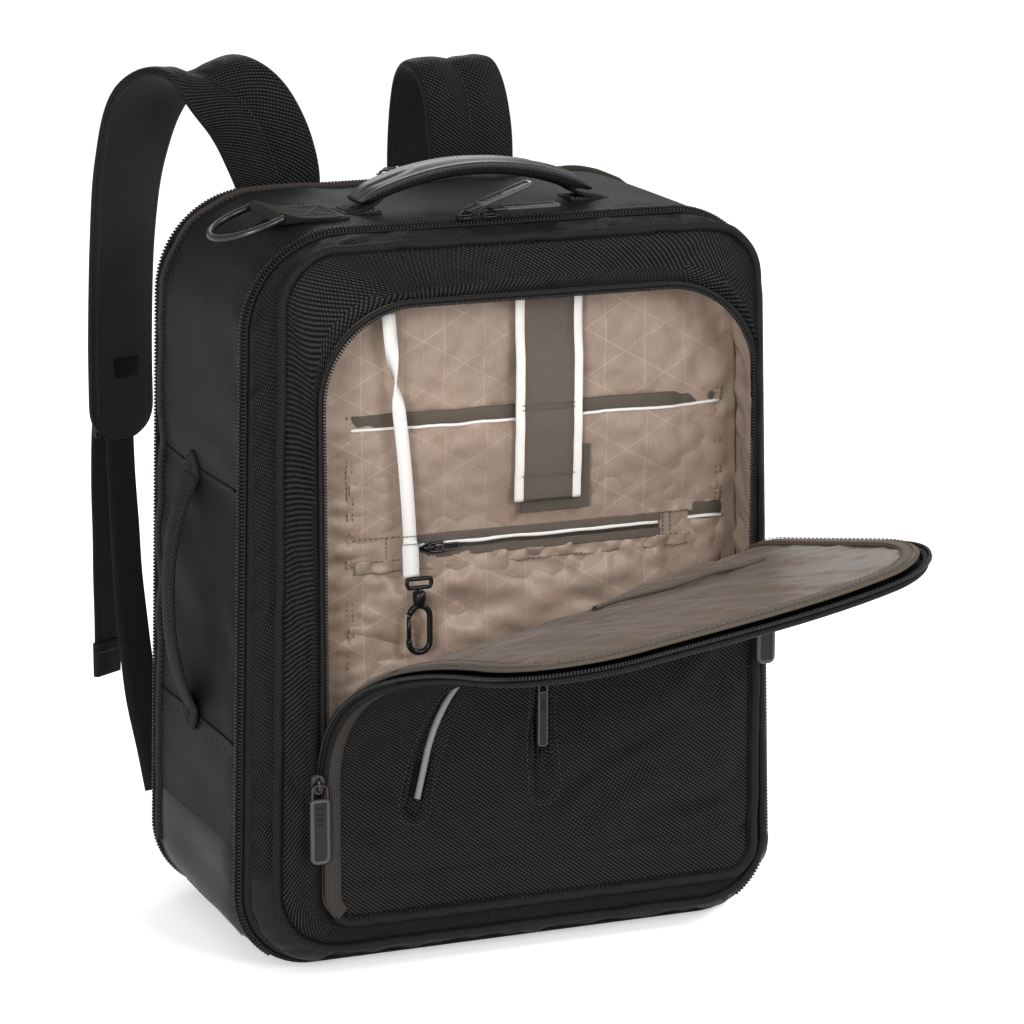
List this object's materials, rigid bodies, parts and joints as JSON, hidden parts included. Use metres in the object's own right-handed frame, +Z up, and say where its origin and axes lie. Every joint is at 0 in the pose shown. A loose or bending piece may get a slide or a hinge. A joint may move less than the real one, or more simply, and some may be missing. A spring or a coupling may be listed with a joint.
{
  "type": "travel backpack",
  "caption": "Boxy travel backpack with a fold-down front organiser, zipped main and rear compartments, carry handles, D-ring and padded shoulder straps.",
  "frame": {"origin": "on the ground, at the middle of the base", "axes": "+Z up, -Y the front with the organiser, +Y the wearer's back, +X to the right seen from the front"},
  "size_m": [0.3856, 0.5527, 0.5421],
  "materials": {
    "outer_fabric": "coarse two-tone twill, matt with a slight sheen",
    "coated_fabric": "smooth coated fabric, dark grey, low sheen",
    "piping": "extruded welt, satin",
    "zip_tape": "woven tape with coil teeth",
    "webbing": "heavy webbing",
    "grip_rubber": "moulded soft grip, satin",
    "metal_dark": "dark gunmetal coating",
    "pull_rubber": "moulded pull with a glossy edge",
    "lining": "satin lining with a thin printed pattern",
    "white_tape": "pale woven tape",
    "taupe_webbing": "taupe webbing",
    "black_plastic": "moulded plastic",
    "back_mesh": "spacer mesh over foam"
  },
  "bodies": {
    "bag": {"main_shell": "outer_fabric", "base_board": "black_plastic", "divider": "lining", "laptop_sleeve": "lining", "corner_guards": "coated_fabric", "side_piping": "piping", "zip1_tape_rear": "zip_tape", "zip2_tape_front": "zip_tape", "handle_patches": "webbing", "d_ring_tab": "webbing"},
    "carry_handle": {"carry_handle": "grip_rubber"},
    "d_ring": {"d_ring": "metal_dark"},
    "side_handle": {"side_handle": "webbing"},
    "zip1_slider_a": {"zip1_slider_a": "metal_dark"},
    "zip1_slider_b": {"zip1_slider_b": "metal_dark"},
    "zip1_pull_a": {"zip1_pull_a": "pull_rubber"},
    "zip1_pull_b": {"zip1_pull_b": "pull_rubber"},
    "zip2_slider": {"zip2_slider": "metal_dark"},
    "zip2_pull": {"zip2_pull": "pull_rubber"},
    "front_module": {"front_gusset": "outer_fabric", "front_border": "outer_fabric", "front_piping": "piping", "zip1_tape_front": "zip_tape", "front_zip_tape": "zip_tape", "lining_gusset": "lining", "lining_wall": "lining", "slip_pocket": "lining", "zip_pocket": "lining", "zip_pocket_tape": "white_tape", "pen_pocket": "lining", "hook_patch": "taupe_webbing", "lower_panel": "outer_fabric", "lower_welts": "zip_tape"},
    "zip_pocket_slider": {"zip_pocket_slider": "metal_dark"},
    "zip_pocket_pull": {"zip_pocket_pull": "pull_rubber"},
    "retention_strap": {"retention_strap": "taupe_webbing"},
    "leash": {"leash": "white_tape", "hook_eye": "black_plastic"},
    "hook_body": {"hook_body": "black_plastic"},
    "hook_gate": {"hook_gate": "black_plastic"},
    "welt_slider": {"welt_slider": "metal_dark"},
    "welt_pull": {"welt_pull": "pull_rubber"},
    "front_slider_left": {"front_slider_left": "metal_dark"},
    "front_pull_left": {"front_pull_left": "pull_rubber"},
    "front_slider_right": {"front_slider_right": "metal_dark"},
    "front_pull_right": {"front_pull_right": "pull_rubber"},
    "front_flap": {"flap_panel": "outer_fabric", "flap_lining": "lining", "flap_zip_tape": "zip_tape"},
    "back_module": {"back_gusset": "outer_fabric", "zip2_tape_rear": "zip_tape", "back_sheet": "back_mesh", "back_pads": "back_mesh", "strap_fixings": "webbing"},
    "strap_left": {"strap_left": "back_mesh"},
    "strap_right": {"strap_right": "back_mesh"},
    "web_left": {"web_left": "webbing"},
    "web_right": {"web_right": "webbing"},
    "ladder_lock_left": {"ladder_lock_left": "black_plastic"},
    "ladder_lock_right": {"ladder_lock_right": "black_plastic"}
  },
  "joints": [
    {"name": "front_module_open", "type": "hinge", "parent": "bag", "child": "front_module", "pos_m": [0, -0.0884, 0.003], "axis": [1, 0, 0], "range_deg": [0, 30]},
    {"name": "flap_fold", "type": "hinge", "parent": "front_module", "child": "front_flap", "pos_m": [-0.134, -0.122, 0.172], "axis": [0.9747, 0, 0.2234], "range_deg": [-75, 25]},
    {"name": "back_panel_open", "type": "hinge", "parent": "bag", "child": "back_module", "pos_m": [0, 0.0844, 0.003], "axis": [-1, 0, 0], "range_deg": [0, 20]},
    {"name": "carry_handle_rock", "type": "hinge", "parent": "bag", "child": "carry_handle", "pos_m": [-0.004, -0.036, 0.472], "axis": [1, 0, 0], "range_deg": [-12, 12], "stiffness_Nm_per_rad": 0.5},
    {"name": "d_ring_swing", "type": "hinge", "parent": "bag", "child": "d_ring", "pos_m": [-0.139, -0.041, 0.4685], "axis": [0, 1, 0], "range_deg": [0, 130]},
    {"name": "side_handle_swing", "type": "hinge", "parent": "bag", "child": "side_handle", "pos_m": [-0.189, 0, 0.2245], "axis": [0, 0, 1], "range_deg": [-12, 12], "stiffness_Nm_per_rad": 0.1},
    {"name": "zip1_slider_a_travel", "type": "slide", "parent": "bag", "child": "zip1_slider_a", "axis": [-1, 0, 0], "range_m": [0, 0.075]},
    {"name": "zip1_slider_b_travel", "type": "slide", "parent": "bag", "child": "zip1_slider_b", "axis": [1, 0, 0], "range_m": [0, 0.09]},
    {"name": "zip1_pull_a_lift", "type": "hinge", "parent": "zip1_slider_a", "child": "zip1_pull_a", "pos_m": [-0.028, -0.0882, 0.4701], "axis": [0, -1, 0], "range_deg": [0, 110]},
    {"name": "zip1_pull_b_lift", "type": "hinge", "parent": "zip1_slider_b", "child": "zip1_pull_b", "pos_m": [-0.012, -0.0882, 0.4701], "axis": [0, -1, 0], "range_deg": [0, 18]},
    {"name": "zip2_slider_travel", "type": "slide", "parent": "bag", "child": "zip2_slider", "axis": [1, 0, 0], "range_m": [0, 0.09]},
    {"name": "zip2_pull_lift", "type": "hinge", "parent": "zip2_slider", "child": "zip2_pull", "pos_m": [-0.016, 0.0842, 0.4701], "axis": [0, -1, 0], "range_deg": [0, 150]},
    {"name": "front_slider_left_travel", "type": "slide", "parent": "front_module", "child": "front_slider_left", "axis": [0, 0, 1], "range_m": [0, 0.2]},
    {"name": "front_slider_right_travel", "type": "slide", "parent": "front_module", "child": "front_slider_right", "axis": [0, 0, 1], "range_m": [0, 0.12]},
    {"name": "front_pull_left_lift", "type": "hinge", "parent": "front_slider_left", "child": "front_pull_left", "pos_m": [-0.1395, -0.1268, 0.127], "axis": [-1, 0, 0], "range_deg": [0, 150]},
    {"name": "front_pull_right_lift", "type": "hinge", "parent": "front_slider_right", "child": "front_pull_right", "pos_m": [0.1605, -0.1268, 0.224], "axis": [-1, 0, 0], "range_deg": [0, 120]},
    {"name": "welt_slider_travel", "type": "slide", "parent": "front_module", "child": "welt_slider", "axis": [0, 0, -1], "range_m": [0, 0.066]},
    {"name": "welt_pull_lift", "type": "hinge", "parent": "welt_slider", "child": "welt_pull", "pos_m": [0.008, -0.1264, 0.18], "axis": [-1, 0, 0], "range_deg": [0, 80]},
    {"name": "zip_pocket_slider_travel", "type": "slide", "parent": "front_module", "child": "zip_pocket_slider", "axis": [1, 0, 0], "range_m": [0, 0.14]},
    {"name": "zip_pocket_pull_turn", "type": "hinge", "parent": "zip_pocket_slider", "child": "zip_pocket_pull", "pos_m": [-0.052, -0.0874, 0.26], "axis": [0, 0, -1], "range_deg": [0, 120]},
    {"name": "retention_strap_lift", "type": "hinge", "parent": "front_module", "child": "retention_strap", "pos_m": [0.026, -0.0902, 0.416], "axis": [-1, 0, 0], "range_deg": [0, 60]},
    {"name": "leash_swing", "type": "hinge", "parent": "front_module", "child": "leash", "pos_m": [-0.081, -0.0953, 0.411], "axis": [-1, 0, 0], "range_deg": [0, 6]},
    {"name": "hook_swivel", "type": "hinge", "parent": "leash", "child": "hook_body", "pos_m": [-0.062, -0.0953, 0.232], "axis": [0, 0, 1], "continuous": true},
    {"name": "hook_gate_open", "type": "hinge", "parent": "hook_body", "child": "hook_gate", "pos_m": [-0.0689, -0.0953, 0.207], "axis": [0, 1, 0], "range_deg": [0, 25], "stiffness_Nm_per_rad": 0.03},
    {"name": "strap_left_swing", "type": "hinge", "parent": "back_module", "child": "strap_left", "pos_m": [-0.077, 0.116, 0.446], "axis": [1, 0, 0], "range_deg": [0, 14]},
    {"name": "strap_right_swing", "type": "hinge", "parent": "back_module", "child": "strap_right", "pos_m": [0.058, 0.116, 0.446], "axis": [1, 0, 0], "range_deg": [0, 14]},
    {"name": "web_left_swing", "type": "hinge", "parent": "back_module", "child": "web_left", "pos_m": [-0.164, 0.115, 0.062], "axis": [1, 0, 0], "range_deg": [-10, 0]},
    {"name": "web_right_swing", "type": "hinge", "parent": "back_module", "child": "web_right", "pos_m": [0.164, 0.115, 0.062], "axis": [1, 0, 0], "range_deg": [-10, 0]},
    {"name": "ladder_lock_left_tilt", "type": "hinge", "parent": "strap_left", "child": "ladder_lock_left", "pos_m": [-0.1705, 0.1951, 0.314], "axis": [0.8572, 0.515, 0], "range_deg": [0, 35]},
    {"name": "ladder_lock_right_tilt", "type": "hinge", "parent": "strap_right", "child": "ladder_lock_right", "pos_m": [0.083, 0.2011, 0.314], "axis": [0.9511, -0.309, 0], "range_deg": [0, 35]}
  ],
  "couplings": [
    {"joint": "web_left_swing", "follows": "strap_left_swing", "ratio": -0.65},
    {"joint": "web_right_swing", "follows": "strap_right_swing", "ratio": -0.65}
  ]
}
